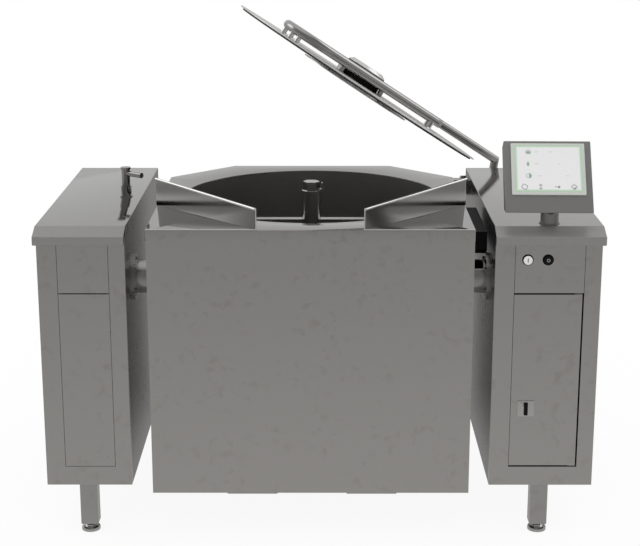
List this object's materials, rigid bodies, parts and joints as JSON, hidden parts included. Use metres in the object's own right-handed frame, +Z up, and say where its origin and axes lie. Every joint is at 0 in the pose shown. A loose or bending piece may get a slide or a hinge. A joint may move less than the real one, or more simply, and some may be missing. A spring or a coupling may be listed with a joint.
{
  "type": "tilting cooking kettle",
  "caption": "Tilting jacketed cooking kettle with stirrer and hinged round lid, hung by trunnions between two cabinet pillars with a touch-screen console.",
  "frame": {"origin": "on the floor, under the middle of the machine's box", "axes": "+X across the front from the left pillar to the right pillar, +Y from the operator's side to the back, +Z up"},
  "size_m": [1.561, 0.9962, 1.4628],
  "materials": {
    "steel_sheet": "fine brushed sheet with a faint mottle",
    "machined_steel": "plain machined",
    "polished_steel": "polished",
    "bronze": "plain",
    "motor_casting": "satin paint",
    "black_plastic": "matt",
    "white_plastic": "satin",
    "rubber": "matt",
    "screen_glass": "glossy"
  },
  "bodies": {
    "frame": {"left_top_cover": "steel_sheet", "left_outer_panel": "steel_sheet", "left_inner_panel": "steel_sheet", "back_panels": "steel_sheet", "left_floor_plate": "steel_sheet", "left_front_frame": "steel_sheet", "left_service_panel": "steel_sheet", "right_top_cover": "steel_sheet", "right_outer_panel": "steel_sheet", "right_inner_panel": "steel_sheet", "right_floor_plate": "steel_sheet", "right_front_frame": "steel_sheet", "right_upper_panel": "steel_sheet", "legs": "steel_sheet", "levelling_feet": "machined_steel", "bearing_housings": "machined_steel", "bearing_bushes": "bronze", "tilt_motor": "motor_casting", "control_box": "machined_steel", "water_valve": "bronze", "mains_gland": "black_plastic", "tap_base": "polished_steel", "console_post": "steel_sheet", "console_housing": "steel_sheet", "screen_module": "screen_glass", "button_bezels": "machined_steel", "switch_blocks": "black_plastic", "door_hinges": "machined_steel"},
    "tap_top": {"tap_spout": "polished_steel"},
    "door": {"right_door": "steel_sheet", "latch_plate": "machined_steel"},
    "latch": {"latch_wing": "black_plastic"},
    "on_key": {"on_button": "white_plastic"},
    "off_key": {"off_button": "black_plastic"},
    "drive_pinion": {"tilt_pinion": "machined_steel"},
    "kettle": {"kettle_deck": "steel_sheet", "kettle_front_panel": "steel_sheet", "kettle_side_panels": "steel_sheet", "kettle_rear_panels": "steel_sheet", "kettle_bottom": "steel_sheet", "bowl": "steel_sheet", "steam_jacket": "steel_sheet", "heating_rings": "bronze", "side_plates": "machined_steel", "trunnions": "machined_steel", "tilt_gear": "machined_steel", "service_box": "black_plastic", "pouring_guards": "polished_steel", "mixer_gearbox": "motor_casting", "lid_bracket": "machined_steel", "hinge_pin": "machined_steel"},
    "stirrer": {"mixer_column": "machined_steel", "mixer_frame": "machined_steel", "mixer_scrapers": "white_plastic"},
    "lid": {"lid_disc": "steel_sheet", "lid_seal": "rubber", "lid_hub": "black_plastic", "lid_cap": "steel_sheet", "splash_plate": "steel_sheet", "lid_arm": "polished_steel"}
  },
  "joints": [
    {"name": "kettle_tilt", "type": "hinge", "parent": "frame", "child": "kettle", "pos_m": [-0.0245, -0.3031, 0.72], "axis": [1, 0, 0], "range_deg": [0, 100]},
    {"name": "tilt_pinion_spin", "type": "hinge", "parent": "frame", "child": "drive_pinion", "pos_m": [0.53, -0.3031, 0.5695], "axis": [1, 0, 0], "range_deg": [-233.5, 0.5]},
    {"name": "lid_hinge", "type": "hinge", "parent": "kettle", "child": "lid", "pos_m": [0.5227, 0.4619, 0.8373], "axis": [-0.1495, 0.9888, 0], "range_deg": [-33.6, 0]},
    {"name": "stirrer_spin", "type": "hinge", "parent": "kettle", "child": "stirrer", "pos_m": [-0.0245, -0.0225, 0.5], "axis": [0, 0, 1], "continuous": true},
    {"name": "door_hinge", "type": "hinge", "parent": "frame", "child": "door", "pos_m": [0.7145, -0.4781, 0.45], "axis": [0, 0, 1], "range_deg": [0, 100]},
    {"name": "latch_turn", "type": "hinge", "parent": "door", "child": "latch", "pos_m": [0.5775, -0.4861, 0.385], "axis": [0, 1, 0], "range_deg": [0, 90]},
    {"name": "on_button_press", "type": "slide", "parent": "frame", "child": "on_key", "axis": [0, 1, 0], "range_m": [0, 0.004], "stiffness_N_per_m": 800},
    {"name": "off_button_press", "type": "slide", "parent": "frame", "child": "off_key", "axis": [0, 1, 0], "range_m": [0, 0.004], "stiffness_N_per_m": 800},
    {"name": "tap_swivel", "type": "hinge", "parent": "frame", "child": "tap_top", "pos_m": [-0.578, -0.0501, 0.94], "axis": [0, 0, 1], "range_deg": [-90, 90]}
  ],
  "couplings": [
    {"joint": "tilt_pinion_spin", "follows": "kettle_tilt", "ratio": -2.3333}
  ]
}
